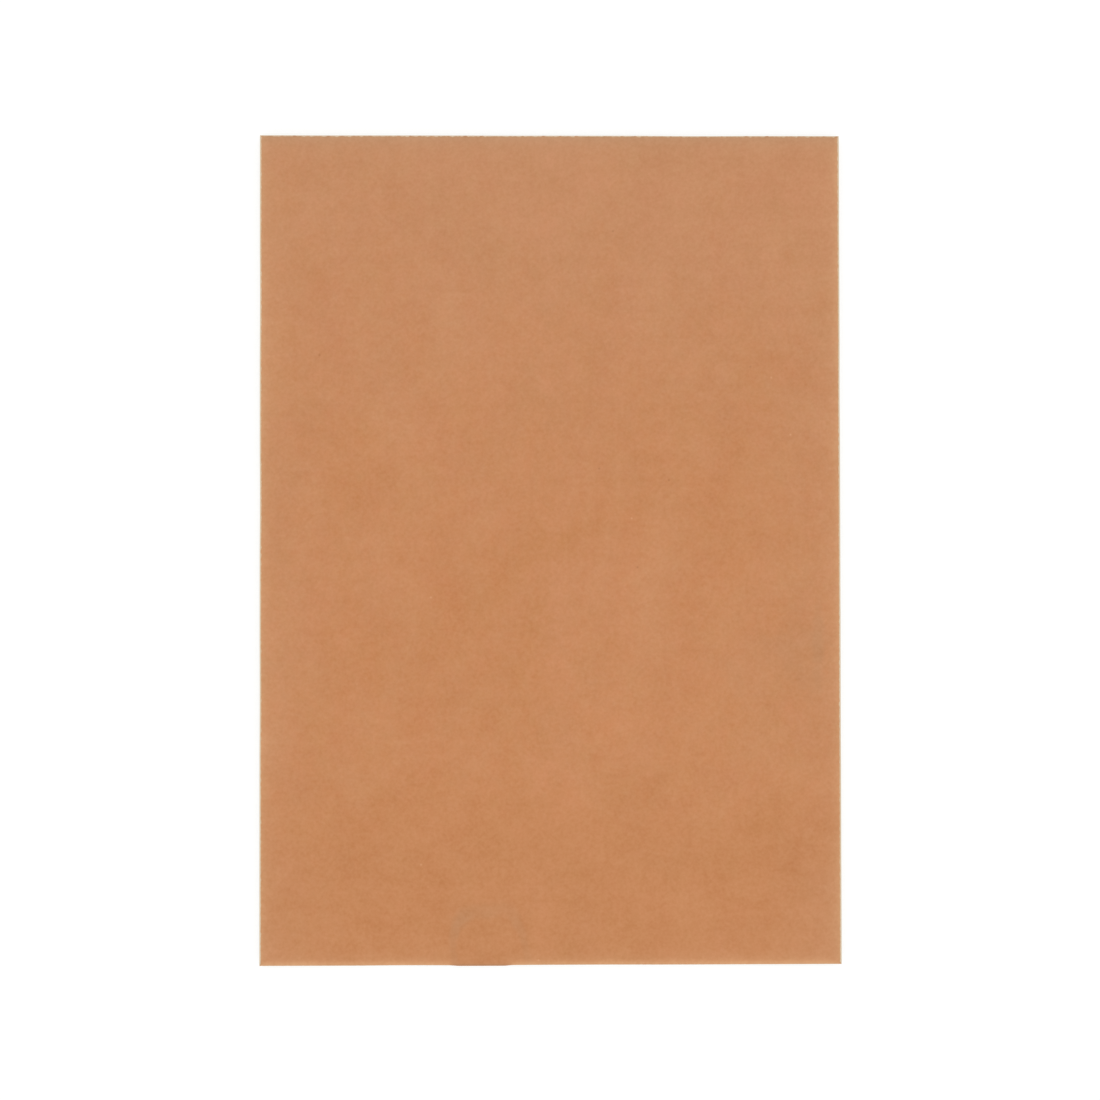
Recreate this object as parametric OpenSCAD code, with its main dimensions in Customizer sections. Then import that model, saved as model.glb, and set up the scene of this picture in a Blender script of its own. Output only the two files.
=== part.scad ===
// Copper clad board: a glass-epoxy laminate with copper foil pressed onto its upper face, cut to size on a
// guillotine shear with the copper up. All sizes are in millimetres. The origin is at the middle of the
// underside, X runs across the board, Y runs along it and +Z points out of the copper face.

/* [Board] */
// Width of the board, across X
board_w = 70; // [30:1:300]
// Length of the board, along Y
board_l = 100; // [40:1:400]
// Thickness over the laminate and the foil together
board_t = 1.6; // [0.8:0.1:3.2]

/* [Foil] */
// Thickness of the copper foil
foil_t = 0.035; // [0.018:0.001:0.105]

/* [Sheared edge] */
// Width of the strip along each edge that the blade draws down
roll_w = 0.9; // [0.5:0.1:2]
// Depth to which the face is drawn down at the edge
roll_drop = 0.07; // [0.03:0.01:0.15]
// Height of the band under the foil that the blade burnishes before the laminate cracks
burnish_h = 0.4; // [0.1:0.05:0.5]
// How far the crack runs in under the burnished band on its way down
crack_inset = 0.12; // [0.04:0.01:0.2]
// Break on the lower arris, where the crack comes out
arris = 0.06; // [0.02:0.01:0.12]

/* [Snapped nub] */
// Place of the nub along the front edge, from the middle of the board
nub_x = -8.4; // [-10:0.1:10]
// Width of the nub along the edge, over both its sloping ends
nub_w = 8; // [4:0.5:10]
// Length of the slope at either end of the nub, along the edge
nub_slope = 1.5; // [0.5:0.1:1.8]
// How far the nub stands out past the edge
nub_proud = 0.06; // [0.04:0.01:0.3]

/* [Hidden] */
$fa = 0.5;
$fs = 0.1;

copper = [0.78, 0.54, 0.38];
glass_epoxy = [0.80, 0.78, 0.58];

// Heights from the underside up: the laminate's face in the middle, the same face where it ends at the edge,
// and the foot of the burnished band, where the crack starts
core_t = board_t - foil_t;
edge_z = core_t - roll_drop;
crack_z = edge_z - burnish_h;

// Radius at which the laminate's face rolls over: an arc that starts level and drops roll_drop in roll_w
roll_r = (roll_w * roll_w + roll_drop * roll_drop) / (2 * roll_drop);

// Half the flat stretch of a face that rolls over at both ends of its span
function flat_half(span) = span / 2 - roll_w;

// Half the flat of the underside, between the broken arrises at both ends of its span
function foot_half(span) = span / 2 - crack_inset - arris;

// Stretches a section drawn across the board's width along Y
module along_y() {
    rotate([90, 0, 0]) linear_extrude(2 * board_l, center = true) children();
}

// Stretches a section drawn across the board's length along X
module along_x() {
    rotate([90, 0, 90]) linear_extrude(2 * board_w, center = true) children();
}

// Section of two opposite sheared sides: the arris, the sloping crack and the upright burnished band
module sheared_section(span) {
    foot = foot_half(span);
    side = [[foot, 0], [foot + arris, arris], [span / 2, crack_z], [span / 2, board_t]];
    last = len(side) - 1;
    polygon(concat(side, [for (i = [last : -1 : 0]) [-side[i][0], side[i][1]]]));
}

// Section of a face at height top that is flat in the middle and rolls over along both edges
module rolled_section(span, top) {
    r = roll_r + top - core_t;
    half = flat_half(span);
    translate([-half, top - 2 * r]) square([2 * half, 2 * r]);
    for (side = [-1, 1]) translate([side * half, top - r]) circle(r);
}

// Everything under a face at height top. The blade never drew the face down along the nub.
module under_face(top) {
    intersection() {
        along_y() rolled_section(board_w, top);
        along_x() rolled_section(board_l, top);
    }
    translate([nub_x - nub_w / 2, -board_l, top - board_t])
        cube([nub_w, board_l - flat_half(board_l), board_t]);
}

// The nub: a low flat stub along the front edge, where the last of the cut was snapped off by hand
module nub() {
    root = foot_half(board_l);
    edge = board_l / 2;
    half = nub_w / 2;
    right = [[half, -root], [half, -edge], [half - nub_slope, -edge - nub_proud]];
    left = [for (i = [2 : -1 : 0]) [-right[i][0], right[i][1]]];
    translate([nub_x, 0, 0]) linear_extrude(board_t) polygon(concat(right, left));
}

// The blank as it leaves the shear, with its upper face still flat out to the edges
module sheared_blank() {
    intersection() {
        along_y() sheared_section(board_w);
        along_x() sheared_section(board_l);
    }
    nub();
}

module base_laminate() {
    color(glass_epoxy) intersection() {
        under_face(core_t);
        sheared_blank();
    }
}

module copper_foil() {
    color(copper) difference() {
        intersection() {
            under_face(board_t);
            sheared_blank();
        }
        under_face(core_t);
    }
}

base_laminate();
copper_foil();
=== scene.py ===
# %% [markdown]
# # Copper clad board
#
# A copper clad board is the raw stock that a circuit board is cut and etched from: a rigid sheet of woven
# glass set in epoxy, with a thin copper foil pressed onto one face. This lesson models one that was cut to
# 70 by 100 mm on a guillotine shear, and lights it as it lies on a white table, seen from straight above.
#
# There is so little shape in a flat board that all of its character sits in two places: the sheared edge,
# where the blade has pressed the face down before the sheet cracked, and the skin of the copper, which is
# never one even colour. Most of what follows is about those two.

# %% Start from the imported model
import math

import bmesh
import bpy
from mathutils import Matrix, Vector, noise


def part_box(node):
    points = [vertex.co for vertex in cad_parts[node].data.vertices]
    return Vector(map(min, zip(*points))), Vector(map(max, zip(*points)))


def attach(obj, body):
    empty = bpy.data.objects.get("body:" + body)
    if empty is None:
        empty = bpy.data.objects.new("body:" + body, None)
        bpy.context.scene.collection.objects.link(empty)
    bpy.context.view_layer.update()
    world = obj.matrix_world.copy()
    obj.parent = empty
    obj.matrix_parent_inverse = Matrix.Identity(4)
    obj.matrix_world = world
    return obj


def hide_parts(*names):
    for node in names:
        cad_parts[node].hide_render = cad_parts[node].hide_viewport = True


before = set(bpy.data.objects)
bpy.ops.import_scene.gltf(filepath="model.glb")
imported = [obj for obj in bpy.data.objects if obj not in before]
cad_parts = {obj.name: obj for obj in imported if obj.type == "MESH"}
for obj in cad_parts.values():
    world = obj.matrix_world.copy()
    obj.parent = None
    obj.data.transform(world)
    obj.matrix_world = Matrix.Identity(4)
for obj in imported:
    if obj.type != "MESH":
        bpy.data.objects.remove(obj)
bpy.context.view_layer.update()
print("packed nodes:", sorted(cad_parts))

# %% [markdown]
# ## Sizes
#
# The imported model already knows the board's outline, its thickness and its snapped nub, so those are
# measured on it and never typed again. The marks that the shear leaves along the edge are written here,
# once, with the sizes that such marks usually have on a sheet of this thickness.

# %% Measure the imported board
MM = 0.001

foil_low, foil_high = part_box("copper_foil")
half_w, half_l, board_t = foil_high
core_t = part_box("base_laminate")[1].z
foil_t = board_t - core_t

roll_w = 0.9 * MM
roll_drop = 0.07 * MM
burnish_h = 0.4 * MM
crack_inset = 0.12 * MM
arris = 0.06 * MM
crack_z = core_t - roll_drop - burnish_h

nub_proud = -foil_low.y - half_l
nub_slope = 1.5 * MM
foil_points = [vert.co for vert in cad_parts["copper_foil"].data.vertices]
nub_tip = [co.x for co in foil_points if co.y < -half_l - nub_proud / 2]
nub_x = (min(nub_tip) + max(nub_tip)) / 2
nub_w = max(nub_tip) - min(nub_tip) + 2 * nub_slope
print(f"board {2 * half_w / MM:.1f} by {2 * half_l / MM:.1f} by {board_t / MM:.2f} mm")
print(f"nub {nub_w / MM:.1f} mm wide, {nub_proud / MM:.2f} mm proud, at x {nub_x / MM:.1f} mm")

# %% [markdown]
# ## A flat sheet with a fine border
#
# The middle of the board is flat, so it needs few faces, but the border needs many, because the shear tore
# it unevenly. A grid of even cells would spend them all in the wrong place. Here a coarse grid is made
# first, its outer edges are subdivided, and every ring further out is extruded from that finer border.

# %% Helpers that build a sheet from the middle outwards
CELL = 1 * MM
BORDER_CUTS = 4
ROLL_RINGS = 8


def open_sheet(bm, inset, height):
    """Adds a level grid that stops short of the outline by inset, and returns its finely cut border."""
    half = Vector((half_w - inset, half_l - inset, 0))
    made = bmesh.ops.create_grid(
        bm, x_segments=round(2 * half.x / CELL), y_segments=round(2 * half.y / CELL), size=1
    )["verts"]
    bmesh.ops.scale(bm, vec=(half.x, half.y, 1), verts=made)
    bmesh.ops.translate(bm, vec=(0, 0, height), verts=made)
    # A dict drops the doubles and keeps the order, where a set would shuffle the edges from run to run
    border = dict.fromkeys(edge for vert in made for edge in vert.link_edges if edge.is_boundary)
    cut = bmesh.ops.subdivide_edges(bm, edges=list(border), cuts=BORDER_CUTS)["geom_split"]
    return [item for item in cut if isinstance(item, bmesh.types.BMEdge) and item.is_boundary]


def next_ring(bm, border, inset, height):
    """Extrudes a border to a new distance from the outline and a new height, and returns the new border."""
    made = bmesh.ops.extrude_edge_only(bm, edges=border)["geom"]
    verts = [item for item in made if isinstance(item, bmesh.types.BMVert)]
    reach = Vector((max(vert.co.x for vert in verts), max(vert.co.y for vert in verts)))
    stretch = ((half_w - inset) / reach.x, (half_l - inset) / reach.y, 1)
    bmesh.ops.scale(bm, vec=stretch, verts=verts)
    bmesh.ops.translate(bm, vec=(0, 0, height - verts[0].co.z), verts=verts)
    return [item for item in made if isinstance(item, bmesh.types.BMEdge)]


def rolled_sheet(bm, height):
    """Adds a level sheet out to the outline, with close rings over the strip that the blade will press."""
    border = open_sheet(bm, roll_w, height)
    for ring in range(1, ROLL_RINGS + 1):
        border = next_ring(bm, border, roll_w * (1 - ring / ROLL_RINGS), height)
    return border


def keep_sharp(border):
    """Marks a border as a hard corner, so that smooth shading stops there."""
    for edge in border:
        edge.smooth = False


print(f"cells of {CELL / MM:.0f} mm, border points every {CELL / (BORDER_CUTS + 1) / MM:.1f} mm")

# %% [markdown]
# ## Where a point lies on the cut
#
# All that the shear does to a point depends on how far it lies from the outline, and on whether it belongs
# to the snapped nub, which the blade never reached. These functions tell that for any point, so the same
# rules can move the points of both pieces.

# %% Place of a point on the cut
NUB_FADE = 1.2 * MM


def smooth(value, low, high):
    """Goes from 0 at low to 1 at high with level ends."""
    share = min(max((value - low) / (high - low), 0), 1)
    return share * share * (3 - 2 * share)


def inset_of(co):
    """Distance of a point from the nearest side of the outline."""
    return max(min(half_w - abs(co.x), half_l - abs(co.y)), 0)


def inwards(co):
    """The way in from each side that a point is near, 1 long at that side and 0 past the rolled strip."""
    way_x = -math.copysign(max(1 - (half_w - abs(co.x)) / roll_w, 0) ** 2, co.x)
    way_y = -math.copysign(max(1 - (half_l - abs(co.y)) / roll_w, 0) ** 2, co.y)
    return Vector((way_x, way_y, 0))


def nub_share(co):
    """1 along the nub's front, falling over its sloping ends and into the board, and 0 elsewhere."""
    along = smooth(abs(co.x - nub_x), nub_w / 2, nub_w / 2 - nub_slope)
    return along * smooth(co.y, -half_l + NUB_FADE, -half_l)


def cut_share(co):
    """0 along the nub, and 1 where the blade came down."""
    return smooth(abs(co.x - nub_x), nub_w / 2 - NUB_FADE, nub_w / 2) if co.y < 0 else 1


# %% [markdown]
# ## What the shear does
#
# A guillotine blade first pushes the face down before it cuts, and the face stays rounded there: a strip
# just under a millimetre wide that leans outwards and catches the light. Below it the blade burnishes an
# upright band, then the sheet cracks and the crack runs in under the band. Nor is the cut quite straight:
# it strays by a few hundredths of a millimetre, and the foil tears back by up to a quarter of one, most of
# all along the sides and the back, so that a thin line of laminate shows round the copper. One function does
# all this to both pieces, and they stay pressed together.

# %% Bend and tear a flat plate the way the blade does
roll_r = (roll_w**2 + roll_drop**2) / (2 * roll_drop)
UNEVEN = 0.22
UNEVEN_LENGTH = 5 * MM
STRAY = 0.06 * MM
STRAY_LENGTH = 12 * MM
# How far the foil tears back from each cut, and how far the tear wanders about that
SIDE_TEAR = (0.18 * MM, 0.065 * MM)
BACK_TEAR = (0.125 * MM, 0.14 * MM)
FRONT_TEAR = (0.045 * MM, 0.03 * MM)
RAGGED_LENGTH = 0.5 * MM
RIP_FALL = 1
LACUNARITY = 2
OCTAVES = 3
print(f"the face rolls over at a radius of {roll_r / MM:.1f} mm")


def wander(co, length, layer):
    """Slow unevenness along the cut, from about -0.7 to 0.7. Another layer gives another unevenness."""
    return noise.noise(Vector((co.x / length, co.y / length, layer)))


def roll_depth(co):
    """How far the face is pressed down at a point."""
    lean = max(roll_w - inset_of(co), 0)
    depth = roll_r - math.sqrt(roll_r**2 - lean**2)
    return depth * (1 - UNEVEN * (0.5 - wander(co, UNEVEN_LENGTH, 0))) * cut_share(co)


def stray(co):
    """How far the cut lies in from the straight outline."""
    return STRAY * max(wander(co, STRAY_LENGTH, 1), 0)


def tear(co):
    """How far the foil is torn back from the cut."""
    depth, ragged = BACK_TEAR if co.y > 0 else FRONT_TEAR
    if half_w - abs(co.x) < half_l - abs(co.y):
        depth, ragged = SIDE_TEAR
    rip = noise.fractal(Vector((co.x, co.y, 0)) / RAGGED_LENGTH, RIP_FALL, LACUNARITY, OCTAVES)
    return max(depth + ragged * rip, 0)


def press(bm, torn=False):
    """Cuts the border back, presses it down and pushes the nub out. Nothing under the band is pressed."""
    for vert in bm.verts:
        back = stray(vert.co) + (tear(vert.co) if torn else 0)
        vert.co += inwards(vert.co) * back * cut_share(vert.co)
        share = min(max((vert.co.z - crack_z) / (core_t - crack_z), 0), 1)
        vert.co.z -= roll_depth(vert.co) * share
        vert.co.y -= nub_proud * nub_share(vert.co)


# %% [markdown]
# ## The copper foil
#
# The foil is 35 thousandths of a millimetre thick. It starts as a flat sheet, gets its thickness with
# Solidify while it is still flat, so that the thickness is exact everywhere, and is bent after that.


# %% Make the foil
def finish_piece(bm, name, replaced):
    """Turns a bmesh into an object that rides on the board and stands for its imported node."""
    bmesh.ops.recalc_face_normals(bm, faces=bm.faces)
    # Extruding adds a ring's faces in a chance order, so they are sorted, and each run writes the same mesh
    by_place = sorted(bm.faces, key=lambda face: tuple(face.calc_center_median()))
    for index, face in enumerate(by_place):
        face.index = index
        face.smooth = True
    bm.faces.sort()
    mesh = bpy.data.meshes.new(name)
    bm.to_mesh(mesh)
    bm.free()
    piece = bpy.data.objects.new(name, mesh)
    bpy.context.scene.collection.objects.link(piece)
    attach(piece, "root")
    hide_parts(replaced)
    print(f"{name}: {len(mesh.vertices)} points, {len(mesh.polygons)} faces")
    return piece


foil_mesh = bmesh.new()
keep_sharp(rolled_sheet(foil_mesh, board_t))
bmesh.ops.recalc_face_normals(foil_mesh, faces=foil_mesh.faces)
bmesh.ops.solidify(foil_mesh, geom=foil_mesh.faces[:], thickness=foil_t)
press(foil_mesh, torn=True)
foil = finish_piece(foil_mesh, "sheared_foil", "copper_foil")

# %% [markdown]
# ## The laminate
#
# The laminate's upper sheet is bent with the foil. From its outline, rings go down the burnished band, in
# along the crack and round the broken lower arris, and a second flat sheet closes the underside. The crack
# is then roughened: glass bundles break at different lengths, in layers as thin as the glass cloth, and
# small chips fall out of the lower arris.

# %% Make the laminate
BAND_RINGS = 3
CRACK_RINGS = 18
PLY_T = 0.19 * MM
BUNDLE_LENGTH = 4 * PLY_T
FIBRE_DEPTH = 0.07 * MM
FIBRE_FALL = 0.6
CHIP_DEPTH = 0.22 * MM
CHIP_LENGTH = 1.1 * MM
CHIP_HEIGHT = 4 * PLY_T
CHIP_FLATNESS = 3
CHIPPED = (0.25, 0.6)


def break_out(bm):
    """Roughens the crack in layers and chips the lower arris."""
    for vert in bm.verts:
        if vert.co.z > crack_z or inset_of(vert.co) > crack_inset + arris + STRAY:
            continue
        below = smooth(vert.co.z, crack_z, crack_z - PLY_T)
        ply = Vector((vert.co.x / BUNDLE_LENGTH, vert.co.y / BUNDLE_LENGTH, vert.co.z / PLY_T))
        fibre = noise.fractal(ply, FIBRE_FALL, LACUNARITY, OCTAVES)
        chip = noise.noise(Vector((vert.co.x, vert.co.y, vert.co.z * CHIP_FLATNESS)) / CHIP_LENGTH)
        low = smooth(vert.co.z, CHIP_HEIGHT, 0)
        depth = below * FIBRE_DEPTH * (1 + fibre) / 2
        depth += CHIP_DEPTH * low * smooth(chip, *CHIPPED)
        vert.co += inwards(vert.co) * max(depth, 0)


core_mesh = bmesh.new()
border = rolled_sheet(core_mesh, core_t)
keep_sharp(border)
for ring in range(1, BAND_RINGS + 1):
    border = next_ring(core_mesh, border, 0, core_t + (crack_z - core_t) * ring / BAND_RINGS)
keep_sharp(border)
for ring in range(1, CRACK_RINGS + 1):
    share = ring / CRACK_RINGS
    border = next_ring(core_mesh, border, crack_inset * share, crack_z + (arris - crack_z) * share)
underside = open_sheet(core_mesh, crack_inset + arris, 0)
bmesh.ops.bridge_loops(core_mesh, edges=border + underside)
keep_sharp(underside)
press(core_mesh)
break_out(core_mesh)
core = finish_piece(core_mesh, "sheared_laminate", "base_laminate")

# %% [markdown]
# ## Shader maths in plain Python
#
# A procedural material is a sum of many small patterns, and wiring each Math node by hand hides what is
# being worked out. The class below wraps one socket, so that adding or multiplying two of them adds the
# Math node, and an expression in the script reads like the formula that it is.


# %% Sums on sockets
class Wire:
    """One output socket. Arithmetic on it adds Math nodes to the same tree."""

    def __init__(self, finish, socket):
        self.finish = finish
        self.socket = socket

    def other(self, name):
        """Another output of the same node."""
        return Wire(self.finish, self.socket.node.outputs[name])

    def maths(self, operation, *values):
        return self.finish.node("ShaderNodeMath", {"operation": operation}, dict(enumerate(values)))

    def __add__(self, value):
        return self.maths("ADD", self, value)

    def __sub__(self, value):
        return self.maths("SUBTRACT", self, value)

    def __rsub__(self, value):
        return self.maths("SUBTRACT", value, self)

    def __mul__(self, value):
        return self.maths("MULTIPLY", self, value)

    def __truediv__(self, value):
        return self.maths("DIVIDE", self, value)

    def __rtruediv__(self, value):
        return self.maths("DIVIDE", value, self)

    def __abs__(self):
        return self.maths("ABSOLUTE", self)

    __radd__ = __add__
    __rmul__ = __mul__

    def least(self, value):
        return self.maths("MINIMUM", self, value)

    def most(self, value):
        return self.maths("MAXIMUM", self, value)

    def sine(self):
        return self.maths("SINE", self)


# %% [markdown]
# All other nodes come from one method of a second class, which takes a node's type, its settings and the
# values or wires of its sockets. The few patterns that both materials use are methods of it too.


# %% A material being wired up
# The Mix node's colour inputs and its colour output, by their place in its lists of sockets
MIX_FIRST = 6
MIX_SECOND = 7
MIX_COLOUR = 2


class Finish:
    """A material or world being wired up."""

    def __init__(self, owner):
        owner.use_nodes = True
        self.owner = owner
        self.tree = owner.node_tree
        self.tree.nodes.clear()

    def node(self, kind, settings=None, sockets=None, output=0):
        """Adds a node, sets it up, fills its sockets with values or wires, and returns one output."""
        made = self.tree.nodes.new(kind)
        for name, value in (settings or {}).items():
            setattr(made, name, value)
        for name, value in (sockets or {}).items():
            if isinstance(value, Wire):
                self.tree.links.new(value.socket, made.inputs[name])
            else:
                made.inputs[name].default_value = value
        return Wire(self, made.outputs[output]) if made.outputs else None

    def fade(self, value, low, high):
        """0 at low and 1 at high, with level ends."""
        return self.node(
            "ShaderNodeMapRange",
            {"interpolation_type": "SMOOTHSTEP"},
            {"Value": value, "From Min": low, "From Max": high},
        )

    def blend(self, share, first, second):
        """A colour between two others."""
        settings = {"data_type": "RGBA", "clamp_factor": True}
        sockets = {0: share, MIX_FIRST: first, MIX_SECOND: second}
        return self.node("ShaderNodeMix", settings, sockets, output=MIX_COLOUR)

    def add_light(self, colour, amount, tint):
        """A colour with an amount of a tint added to it, or taken away where the amount is below 0."""
        sockets = {0: amount, 1: tint, 2: colour}
        return self.node("ShaderNodeVectorMath", {"operation": "MULTIPLY_ADD"}, sockets)

    def grain(self, place, size, detail=0.0, rough=0.5, turn=0.0):
        """Noise from about -0.5 to 0.5. Its spots are size millimetres along X, Y and Z, and may turn."""
        laid = self.node(
            "ShaderNodeMapping",
            {"vector_type": "TEXTURE"},
            {"Vector": place, "Rotation": (0, 0, math.radians(turn)), "Scale": size},
        )
        sockets = {"Vector": laid, "Scale": 1.0, "Detail": detail, "Roughness": rough}
        return self.node("ShaderNodeTexNoise", {"noise_dimensions": "3D"}, sockets) - 0.5

    def place(self):
        """The point on the object, in millimetres."""
        at = self.node("ShaderNodeTexCoord", output="Object")
        return self.node("ShaderNodeVectorMath", {"operation": "SCALE"}, {0: at, "Scale": 1 / MM})

    def parts(self, vector):
        """The X, Y and Z of a vector."""
        split = self.node("ShaderNodeSeparateXYZ", {}, {"Vector": vector})
        return split, split.other("Y"), split.other("Z")

    def surface(self, sockets):
        """Ends the tree in a Principled BSDF."""
        shader = self.node("ShaderNodeBsdfPrincipled", {}, sockets)
        self.node("ShaderNodeOutputMaterial", {}, {"Surface": shader})
        print(f"{self.owner.name}: {len(self.tree.nodes)} nodes")
        return self.owner


def seen(red, green, blue):
    """A colour as it reads on a screen, 0 to 255, turned into the light that a shader works with."""
    shares = [value / 255 for value in (red, green, blue)]
    linear = [v / 12.92 if v <= 0.04045 else ((v + 0.055) / 1.055) ** 2.4 for v in shares]
    return (*linear, 1)


# %% [markdown]
# ## Copper: the broad tone
#
# Bare foil is matt and slightly pink when it is new, and goes warmer and darker where air and fingers have
# reached it. On this board the far end is still cool, the near half has turned, and the cool tone lingers
# along both long sides. The colour fields are written in millimetres on the board, so that their numbers
# can be read straight off a ruler. A pair says where along Y a change starts and where it is complete.

# %% Broad tone of the copper
WARM = seen(196.7, 135.8, 92.3)
COOL = seen(196.5, 141.0, 102.4)
HANDLED = seen(189.5, 132, 90)
FAR_END = (-2, 51)
NEAR_END = (-26, -34)
FAR_SIDES = (5, 35)
CORNERS = (-26, -48)
LEAST_COOL = 0.26
FAR_COOL = 0.77
SIDE_COOL = 0.33
FAR_SIDE_WARM = 0.25
CORNER_COOL = 0.45
SIDE_REACH = 12
COOL_TO_THE_RIGHT = 0.005

copper = Finish(bpy.data.materials.new("bare_copper"))
place = copper.place()
x, y, _ = copper.parts(place)
side_gap = half_w / MM - abs(x)
back_gap = half_l / MM - y
front_gap = half_l / MM + y

far_end = copper.fade(y, *FAR_END)
side_cool = SIDE_COOL - FAR_SIDE_WARM * copper.fade(y, *FAR_SIDES) + CORNER_COOL * copper.fade(y, *CORNERS)
coolness = LEAST_COOL * (1 - copper.fade(y, *NEAR_END)) + FAR_COOL * far_end
coolness = coolness + side_cool * copper.fade(side_gap, SIDE_REACH, 0) + COOL_TO_THE_RIGHT * x * far_end
print("far end", FAR_COOL + LEAST_COOL, "cool, sides", SIDE_COOL, "more")

# %% [markdown]
# ## Copper: clouds and ends
#
# Those even fields would look airbrushed, so a cloudy noise drifts the tone to either side, and a second one
# blushes it, which takes green out where it puts red in. The last millimetre at each end is paler and
# greyer, most of all at the back. Its share falls off with the square of the distance, as a real edge effect
# does, so that no line shows where it stops.

# %% Clouds and pale ends
PALE_END_TONE = seen(190.5, 147, 112)
BLUSH = (0.037, -0.024, 0)
BLUSH_GRAIN = {"size": (6, 8, 9), "detail": 4, "rough": 0.95}
DRIFT = 1.8
DRIFT_GRAIN = {"size": (9, 12, 14), "detail": 5, "rough": 0.95}
HANDLED_PART = (-24, -38)
HANDLED_SHARE = 0.4
PALE_BACK_SHARE = 0.75
PALE_FRONT_SHARE = 0.1

drift = copper.grain(place, **DRIFT_GRAIN)
blush = copper.grain(place, **BLUSH_GRAIN)
tone = copper.add_light(copper.blend(coolness + drift * DRIFT, WARM, COOL), blush, BLUSH)
tone = copper.blend(copper.fade(y, *HANDLED_PART) * HANDLED_SHARE, tone, HANDLED)
# Paler, greyer copper over the last millimetre of each end, most at the back
tone = copper.blend(PALE_BACK_SHARE / (1 + back_gap * back_gap), tone, PALE_END_TONE)
tone = copper.blend(PALE_FRONT_SHARE / (1 + front_gap * front_gap), tone, PALE_END_TONE)
print("fresh share at the very edge:", PALE_BACK_SHARE, "back,", PALE_FRONT_SHARE, "front")

# %% [markdown]
# ## Copper: marks
#
# Two faint stains show in the photograph, a smudge by the right edge and a grey arch round the snapped nub,
# perhaps a thumb's. Both mostly take red out of the copper. A few specks of dust and pinprick oxide lie
# over them. Each mark could be painted, but a soft shape with a middle and a reach says the same in one
# line, and a noise that is added to its distance gives it a ragged outline.

# %% Shapes for marks
SOFT_RIM = (1.15, 0.3)
SPECK_R = 0.22


def distance(place, middle, reach, turn=0, squared=False):
    """Distance from a middle in the board's plane, as a share of a reach along X and along Y.

    Where it is squared, a line of equal distance is a rectangle with round corners, not an ellipse.
    """
    sockets = {"Vector": place, "Location": (*middle, board_t / MM), "Scale": (*reach, 1)}
    sockets["Rotation"] = (0, 0, math.radians(turn))
    laid = copper.node("ShaderNodeMapping", {"vector_type": "TEXTURE"}, sockets)
    if squared:
        laid = copper.node("ShaderNodeVectorMath", {"operation": "MULTIPLY"}, {0: laid, 1: laid})
    return copper.node("ShaderNodeVectorMath", {"operation": "LENGTH"}, {0: laid}, output="Value")


def specks(place, middles):
    """1 in the middle of each speck and 0 away from them."""
    total = 0.0
    for middle in middles:
        total = total + copper.fade(distance(place, middle, (SPECK_R, SPECK_R)), 1, 0)
    return total


# %% Stains and specks
STAIN = seen(186, 136, 98)
DARK_SPECK = seen(140, 92, 62)
LIGHT_SPECK = seen(235, 190, 150)
THUMB = {"middle": (-6.9, -52), "reach": (4.4, 8.7), "turn": 7, "squared": True}
THUMB_TIP = {"middle": (-11.8, -45), "reach": (5.6, 4.8)}
DARK_SPECKS = ((24.2, 22.0), (7.6, 38.4), (5.9, 9.7), (10.5, -2.2), (14.3, 8.3), (-27.8, 23.4))
LIGHT_SPECKS = ((26.7, 20.7), (29.0, 13.8), (9.8, 3.7), (-14.4, -5.8), (-15.6, -37.9), (-1.5, -49.4))
DARK_SHARE = 0.3
LIGHT_SHARE = 0.25
BLOT_GRAIN = {"size": (2.2, 2.2, 2.2), "detail": 3, "rough": 0.7}
ARCH_OUTSIDE = (1.3, 1.02)
ARCH_INSIDE = (0.7, 0.88)
ARCH_RAGGED = 0.35
ARCH_BLOTS = 1.5
ARCH_SHARE = 0.3
TIP_SHARE = 0.34
ROUND_ARCH = (1.9, 0.9)
ROUND_SHARE = 0.25
# Each smudge: its middle, its reach, how ragged it is, its share of the tone, and its colour
SMUDGES = (
    ((26.5, -14.2), (9, 5.5), 1.6, 0.2, STAIN),
    ((30.4, -12), (4, 6), 1.6, 0.28, STAIN),
    ((32.3, -11.4), (0.95, 6), 0.8, 0.5, STAIN),
    ((30.6, -12.9), (1.6, 1.3), 2.0, 0.46, HANDLED),
)

blot = copper.grain(place, **BLOT_GRAIN)
for middle, reach, ragged, share, colour in SMUDGES:
    inside = copper.fade(distance(place, middle, reach) + blot * ragged, *SOFT_RIM)
    tone = copper.blend(inside * share, tone, colour)
ring = distance(place, **THUMB) + blot * ARCH_RAGGED
arch = copper.fade(ring, *ARCH_OUTSIDE) * copper.fade(ring, *ARCH_INSIDE)
pressed = ARCH_SHARE + TIP_SHARE * copper.fade(distance(place, **THUMB_TIP), 1, 0)
tone = copper.blend(copper.fade(ring, *ROUND_ARCH) * ROUND_SHARE, tone, HANDLED)
tone = copper.blend(arch * pressed * (1 + blot * ARCH_BLOTS), tone, STAIN)
tone = copper.blend(specks(place, DARK_SPECKS) * DARK_SHARE, tone, DARK_SPECK)
tone = copper.blend(specks(place, LIGHT_SPECKS) * LIGHT_SHARE, tone, LIGHT_SPECK)
print(f"{len(SMUDGES)} smudges, 1 arch, {len(DARK_SPECKS) + len(LIGHT_SPECKS)} specks")

# %% [markdown]
# ## Copper: the painted highlight on the rim
#
# The strip that the shear pressed down leans out and catches the light, and a highlight painted into the
# tone brightens it further, most of all along the front and the sides. Along the nub, which the blade never
# pressed, the painted highlight is left out, and a darker line runs along the whole front edge, darkest
# along the nub.

# %% Painted rim highlight and darker front edge
# Colour of the highlight painted on the rolled rim
HIGHLIGHT_TONE = seen(216, 173, 131)
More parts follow.
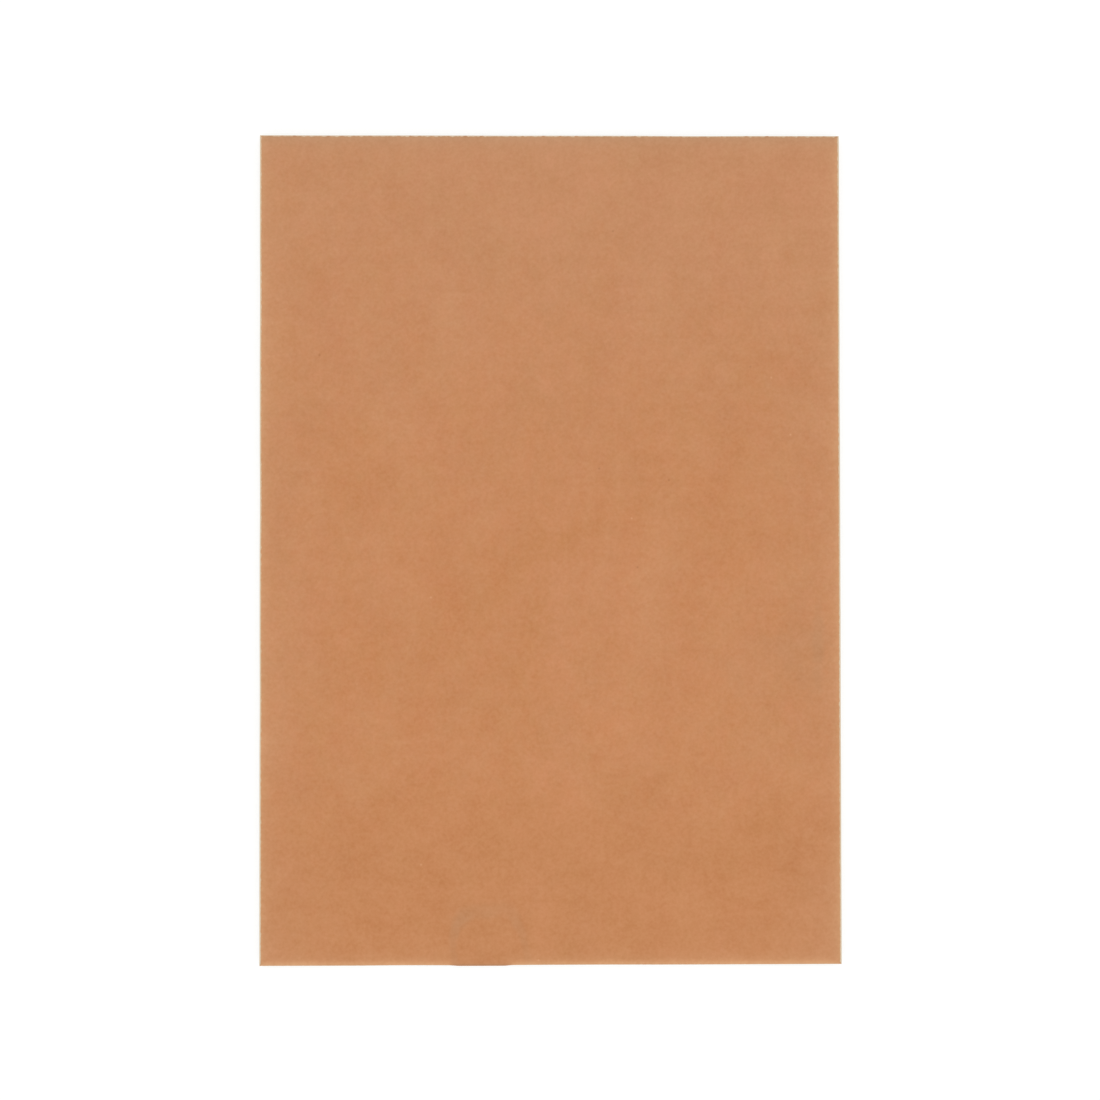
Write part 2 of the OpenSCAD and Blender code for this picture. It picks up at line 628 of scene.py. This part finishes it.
# Colour of the darker line along the front edge
DARK_EDGE_TONE = seen(182, 133, 96)
FRONT_HIGHLIGHT = 0.85
SIDE_HIGHLIGHT = 0.6
BACK_HIGHLIGHT = 0.1
FRONT_FALL = 6
HIGHLIGHT_FALL = 2.3
HIGHLIGHT_SHARE = 0.55
HIGHLIGHT_STREAKS = 0.7
HIGHLIGHT_GRAIN = {"size": (0.7, 0.7, 0.7), "detail": 2}
DARK_EDGE_WIDTH = 0.3
FRONT_DARK_EDGE = 0.28

nub_reach = (nub_w + nub_slope) / 2 / MM
along_nub = copper.fade(abs(x - nub_x / MM), nub_reach, (nub_w / 2 - nub_slope) / MM)
front_highlight = FRONT_HIGHLIGHT * (1 - along_nub) / (1 + front_gap * front_gap * FRONT_FALL)
side_highlight = SIDE_HIGHLIGHT / (1 + side_gap * side_gap * HIGHLIGHT_FALL)
back_highlight = BACK_HIGHLIGHT / (1 + back_gap * back_gap * HIGHLIGHT_FALL)
streaky = copper.grain(place, **HIGHLIGHT_GRAIN)
# The painted highlight along the rim, strongest at the front and the sides, streaked by grain
rim_highlight = front_highlight.most(side_highlight).most(back_highlight) * (1 + streaky * HIGHLIGHT_STREAKS)
tone = copper.blend(rim_highlight * HIGHLIGHT_SHARE, tone, HIGHLIGHT_TONE)
# A darker line along the front edge, darkest along the nub
tone = copper.blend(copper.fade(front_gap, DARK_EDGE_WIDTH, 0) * along_nub.most(FRONT_DARK_EDGE), tone, DARK_EDGE_TONE)
print(f"nub left dull over {2 * nub_reach:.1f} mm")

# %% [markdown]
# ## Copper: the grain
#
# Seen close, matt foil is full of soft blotches of every size, and those of four millimetres are more than
# half as strong as those of a tenth. A rougher spot scatters light that has less of copper's colour in it,
# so the blotches aren't made by scaling the tone but by adding a paler tint to it or taking it away. Rolling
# the glass cloth and pressing the stack leave faint bands too: broad ones along the board and fine, even
# ones across it. Along the back the foil's cut edge is burred, and the burrs' glints and shade are painted
# in.

# %% Grain of the copper
SCATTER = (0.124, 0.100, 0.070)
MOTTLE = 1.15
MOTTLE_GRAIN = {"size": (8, 8, 8), "detail": 5, "rough": 0.95}
PORES = 0.32
PORE_GRAIN = {"size": (0.5, 0.5, 0.5), "detail": 1, "rough": 1.0}
STREAKS = 0.14
STREAK_GRAIN = {"size": (8, 90, 20), "detail": 1, "turn": -15}
BANDS = 0.01
BAND_PITCH = 2.97
BAND_BEND = 4
# Strength of the glints and shade painted along the burred back edge
BURR_LIGHT_STRENGTH = 2.2
BURR_GLINT_GRAIN = {"size": (1, 1, 1), "detail": 3, "rough": 0.7}
BURR_GLINT_WIDTH = 0.35

mottle = copper.grain(place, **MOTTLE_GRAIN)
pores = copper.grain(place, **PORE_GRAIN)
streaks = copper.grain(place, **STREAK_GRAIN)
bands = (y * (2 * math.pi / BAND_PITCH) + streaks * BAND_BEND).sine()
# Painted glints and shade of the burrs along the back edge
burr_glint_and_shade = copper.grain(place, **BURR_GLINT_GRAIN) * copper.fade(back_gap, BURR_GLINT_WIDTH, 0)
shade = mottle * MOTTLE + pores * PORES + streaks * STREAKS + bands * BANDS + burr_glint_and_shade * BURR_LIGHT_STRENGTH
tone = copper.add_light(tone, shade, SCATTER)
print(f"{2 * half_l / MM / BAND_PITCH:.0f} pressed bands")

# %% [markdown]
# ## Copper: the surface
#
# The tone now becomes a metal's. Matt foil is rough enough to blur the whole room into one glow, a little
# rougher in its pale blotches and smoother along the rim that carries the painted highlight. A bump of a few
# thousandths of a millimetre is all the relief it has, because anything deeper would look cast.

# %% Copper surface
COPPER_ROUGH = 0.45
MOTTLE_ROUGH = 0.3
HIGHLIGHT_SMOOTH = 0.06
RELIEF = 0.003 * MM
RELIEF_MOTTLE = 2

height = pores + mottle * RELIEF_MOTTLE
relief = copper.node("ShaderNodeBump", {}, {"Height": height, "Strength": 1.0, "Distance": RELIEF})
copper_sockets = {
    "Base Color": tone,
    "Metallic": 1.0,
    # Smoother along the rim that carries the painted highlight
    "Roughness": COPPER_ROUGH + mottle * MOTTLE_ROUGH - rim_highlight * HIGHLIGHT_SMOOTH,
    "Normal": relief,
}
foil.data.materials.append(copper.surface(copper_sockets))

# %% [markdown]
# ## Glass and epoxy: the underside
#
# A single-sided board is bare underneath: pale resin with a gloss, and the weave of the glass cloth just
# visible in it. Two sines give the weave, one for each way that the yarns run, and their product says which
# of the two lies on top. Along the edges the shear has crazed the resin into a whitish halo.

# %% Underside of the laminate
RESIN = seen(206, 196, 144)
RESIN_DEEP = seen(180, 167, 108)
CRAZED = seen(226, 222, 192)
WARP_PITCH = 0.58
WEFT_PITCH = 0.82
CROSSING = 0.15
RAISED = (0.1, 0.9)
YARN_SHARE = 0.6
CLOUD_SHARE = 0.8
CLOUD_GRAIN = {"size": (9, 9, 9), "detail": 4, "rough": 0.6}
HALO = (0.85, 0.3)
HALO_RAGGED = 0.9
RAGGED_GRAIN = {"size": (0.7, 0.7, 0.7), "detail": 3, "rough": 0.7}
HALO_SHARE = 0.55
HALO_YARN = 0.4

epoxy = Finish(bpy.data.materials.new("bare_glass_epoxy"))
place = epoxy.place()
x, y, z = epoxy.parts(place)
gap = (half_w / MM - abs(x)).least(half_l / MM - abs(y))

warp = (x * (math.pi / WARP_PITCH)).sine()
weft = (y * (math.pi / WEFT_PITCH)).sine()
over = epoxy.fade(warp * weft, -CROSSING, CROSSING)
yarn = abs(warp) * over + abs(weft) * (1 - over)
cloud = epoxy.grain(place, **CLOUD_GRAIN)
ragged = epoxy.grain(place, **RAGGED_GRAIN)
raised = epoxy.fade(yarn, *RAISED)
under = epoxy.blend(raised * YARN_SHARE + cloud * CLOUD_SHARE, RESIN_DEEP, RESIN)
halo = epoxy.fade(gap + ragged * HALO_RAGGED, *HALO) * (HALO_SHARE + yarn * HALO_YARN)
under = epoxy.blend(halo, under, CRAZED)
print(f"a yarn every {WARP_PITCH} mm across the board and every {WEFT_PITCH} mm along it")

# %% [markdown]
# ## Glass and epoxy: the sheared side
#
# The burnished band is smooth and a little darker. Its upper lip, which the torn foil leaves bare, shows the
# warm cream of the resin that the copper was pressed into, with a white fleck where the resin has crazed.
# The crack below is pale, because light scatters off thousands of broken glass fibres, and it is layered
# like the cloth, with the ends of the crosswise bundles as lens shapes between the plies.

# %% Side of the laminate
BURNISHED = seen(194, 183, 134)
BROKEN = seen(243, 239, 218)
BARE = seen(220, 198, 166)
LIP = 0.03
FLECKS = (0.1, 0.3)
BAND_RIM = 0.03
BAND_RAGGED = 0.12
BROKEN_SHARE = 0.5
BROKEN_FIBRES = 1.3
FIBRE_GRAIN = {"size": (0.9, 0.9, 0.035), "detail": 3, "rough": 0.7}
BROKEN_PLIES = 0.16
PLY_BEND = 2
PLY_GRAIN = {"size": (1.5, 1.5, 0.5)}
BROKEN_BUNDLES = 0.14
SMEARED_SHARE = 0.25
SMEARED_FIBRES = 0.8

fibres = epoxy.grain(place, **FIBRE_GRAIN)
plies = (z * (2 * math.pi * MM / PLY_T) + epoxy.grain(place, **PLY_GRAIN) * PLY_BEND).sine()
bundles = ((x + y) * (2 * math.pi / WEFT_PITCH)).sine()
layers = plies * BROKEN_PLIES + bundles * plies * BROKEN_BUNDLES
broken = epoxy.blend(BROKEN_SHARE + fibres * BROKEN_FIBRES + layers, BURNISHED, BROKEN)
smeared = epoxy.blend(SMEARED_SHARE + fibres * SMEARED_FIBRES, BURNISHED, RESIN)
edge_z = (core_t - roll_drop) / MM
lip = epoxy.fade(z, edge_z - LIP, edge_z)
smeared = epoxy.blend(lip, smeared, BARE)
smeared = epoxy.blend(lip * epoxy.fade(ragged, *FLECKS), smeared, CRAZED)
is_band = epoxy.fade(z + ragged * BAND_RAGGED, crack_z / MM - BAND_RIM, crack_z / MM + BAND_RIM)
side = epoxy.blend(is_band, broken, smeared)
print(f"{crack_z / PLY_T:.0f} plies show in the crack")

# %% [markdown]
# ## Glass and epoxy: the surface
#
# One material serves the glossy underside and the broken side, told apart by height, because they are one
# sheet. The underside has a clear coat over the weave, as the resin does, and the splintered crack is rough
# and dry, with the burnished band between the two.

# %% Laminate surface
GLOSSY = 0.16
SPLINTERED = 0.75
BURNISHED_LESS = 0.35
WEAVE_RELIEF = 0.004
FIBRE_RELIEF = 0.05
RAGGED_RELIEF = 0.04
BAND_SMOOTH = 0.8
FACE_Z = (0.03, 0.01)
COAT = 0.6
COAT_ROUGH = 0.08
EPOXY_IOR = 1.55

is_under = epoxy.fade(z, *FACE_Z)
is_side = 1 - is_under
splinters = (fibres * FIBRE_RELIEF + ragged * RAGGED_RELIEF) * (1 - is_band * BAND_SMOOTH)
height = yarn * WEAVE_RELIEF * is_under + splinters * is_side
relief = epoxy.node("ShaderNodeBump", {}, {"Height": height, "Strength": 1.0, "Distance": MM})
epoxy_sockets = {
    "Base Color": epoxy.blend(is_under, side, under),
    "Roughness": GLOSSY * is_under + (SPLINTERED - is_band * BURNISHED_LESS) * is_side,
    "Coat Weight": is_under * COAT,
    "Coat Roughness": COAT_ROUGH,
    "IOR": EPOXY_IOR,
    "Normal": relief,
}
core.data.materials.append(epoxy.surface(epoxy_sockets))

# %% [markdown]
# ## The camera
#
# The photograph was taken from almost straight above. Opposite sides of the board differ by less than one
# part in a hundred in it, which is too little to tell the lens: any from 35 to 200 mm can be placed so that
# the corners fit about equally well. The lens is a choice, and the camera's place and lean go with it.

# %% Camera
EYE = (-6.75 * MM, -8.265 * MM, 369.65 * MM)
LEAN = (1.27, -1.04, -0.08)
LENS = 100
SENSOR = 36
NEAR = 10 * MM

camera_data = bpy.data.cameras.new("camera")
camera_data.lens = LENS
camera_data.sensor_width = SENSOR
camera_data.clip_start = NEAR
camera = bpy.data.objects.new("camera", camera_data)
camera.location = EYE
camera.rotation_euler = [math.radians(turn) for turn in LEAN]
bpy.context.scene.collection.objects.link(camera)
bpy.context.scene.camera = camera
bpy.context.scene.view_settings.view_transform = "Standard"
print(f"camera {EYE[2] / MM:.0f} mm above the table, leaning {max(LEAN)} degrees")

# %% [markdown]
# ## The table
#
# The board lies on plain white, with hardly any shadow. A table that is white by reflection alone would need
# so much lamplight that the copper clips too. So the table is grey to the light, which keeps its bounce and
# its shadow soft, and glows by as much as it lacks, but only for what the camera sees. Glossy and
# transmission rays count as seen, so that a reflection in the copper or the resin shows the same white.

# %% Table
TABLE_SIZE = 3
TABLE_GREY = 0.42
TABLE_GLOW = 0.655


def seen_directly(finish):
    """1 for what the camera sees, straight or in a reflection or through glass, and 0 for other light."""
    path = finish.node("ShaderNodeLightPath", output="Is Camera Ray")
    return path.most(path.other("Is Glossy Ray")).most(path.other("Is Transmission Ray"))


table_mesh = bmesh.new()
bmesh.ops.create_grid(table_mesh, x_segments=1, y_segments=1, size=TABLE_SIZE)
table_data = bpy.data.meshes.new("table")
table_mesh.to_mesh(table_data)
table_mesh.free()
table = bpy.data.objects.new("table", table_data)
bpy.context.scene.collection.objects.link(table)

white = Finish(bpy.data.materials.new("white_table"))
table_sockets = {
    "Base Color": (TABLE_GREY, TABLE_GREY, TABLE_GREY, 1),
    "Roughness": 1.0,
    "Emission Color": white.blend(seen_directly(white), (0, 0, 0, 1), (1, 1, 1, 1)),
    "Emission Strength": TABLE_GLOW,
}
table_data.materials.append(white.surface(table_sockets))

# %% [markdown]
# ## The light
#
# Matt copper shows whatever surrounds it, blurred. An even pale world gives it most of its light, so that a
# colour renders about as it is written, and the camera sees that world as plain white. Three large soft
# boxes, halfway down on three sides, add the little that makes the rounded rim brighter than the flat face:
# the rim leans out by up to nine degrees, and so mirrors a lower part of the room.

# %% World
WORLD_GREY = 0.88

world = Finish(bpy.data.worlds.new("studio"))
grey = (WORLD_GREY, WORLD_GREY, WORLD_GREY, 1)
strength = world.blend(seen_directly(world), grey, (1, 1, 1, 1))
background = world.node("ShaderNodeBackground", {}, {"Color": strength, "Strength": 1.0})
world.node("ShaderNodeOutputWorld", {}, {"Surface": background})
bpy.context.scene.world = world.owner
print("world", WORLD_GREY, "bright")

# %% Soft boxes
BOX_WIDTH = 0.7
# Each soft box: its name, its place in metres and its power in watts
SOFTBOXES = (
    ("front_softbox", (0, -1.1, 1.2), 1.9),
    ("left_softbox", (-1.2, 0, 1.1), 0.8),
    ("right_softbox", (1.2, 0, 1.1), 1.1),
)


def softbox(name, place, power):
    """Adds a square area lamp that looks at the board."""
    lamp_data = bpy.data.lights.new(name, "AREA")
    lamp_data.shape = "SQUARE"
    lamp_data.size = BOX_WIDTH
    lamp_data.energy = power
    lamp = bpy.data.objects.new(name, lamp_data)
    lamp.location = place
    lamp.rotation_euler = Vector(place).to_track_quat("Z", "Y").to_euler()
    bpy.context.scene.collection.objects.link(lamp)
    print(f"{name}: {power} W, {lamp.location.length:.2f} m away")


for box in SOFTBOXES:
    softbox(*box)
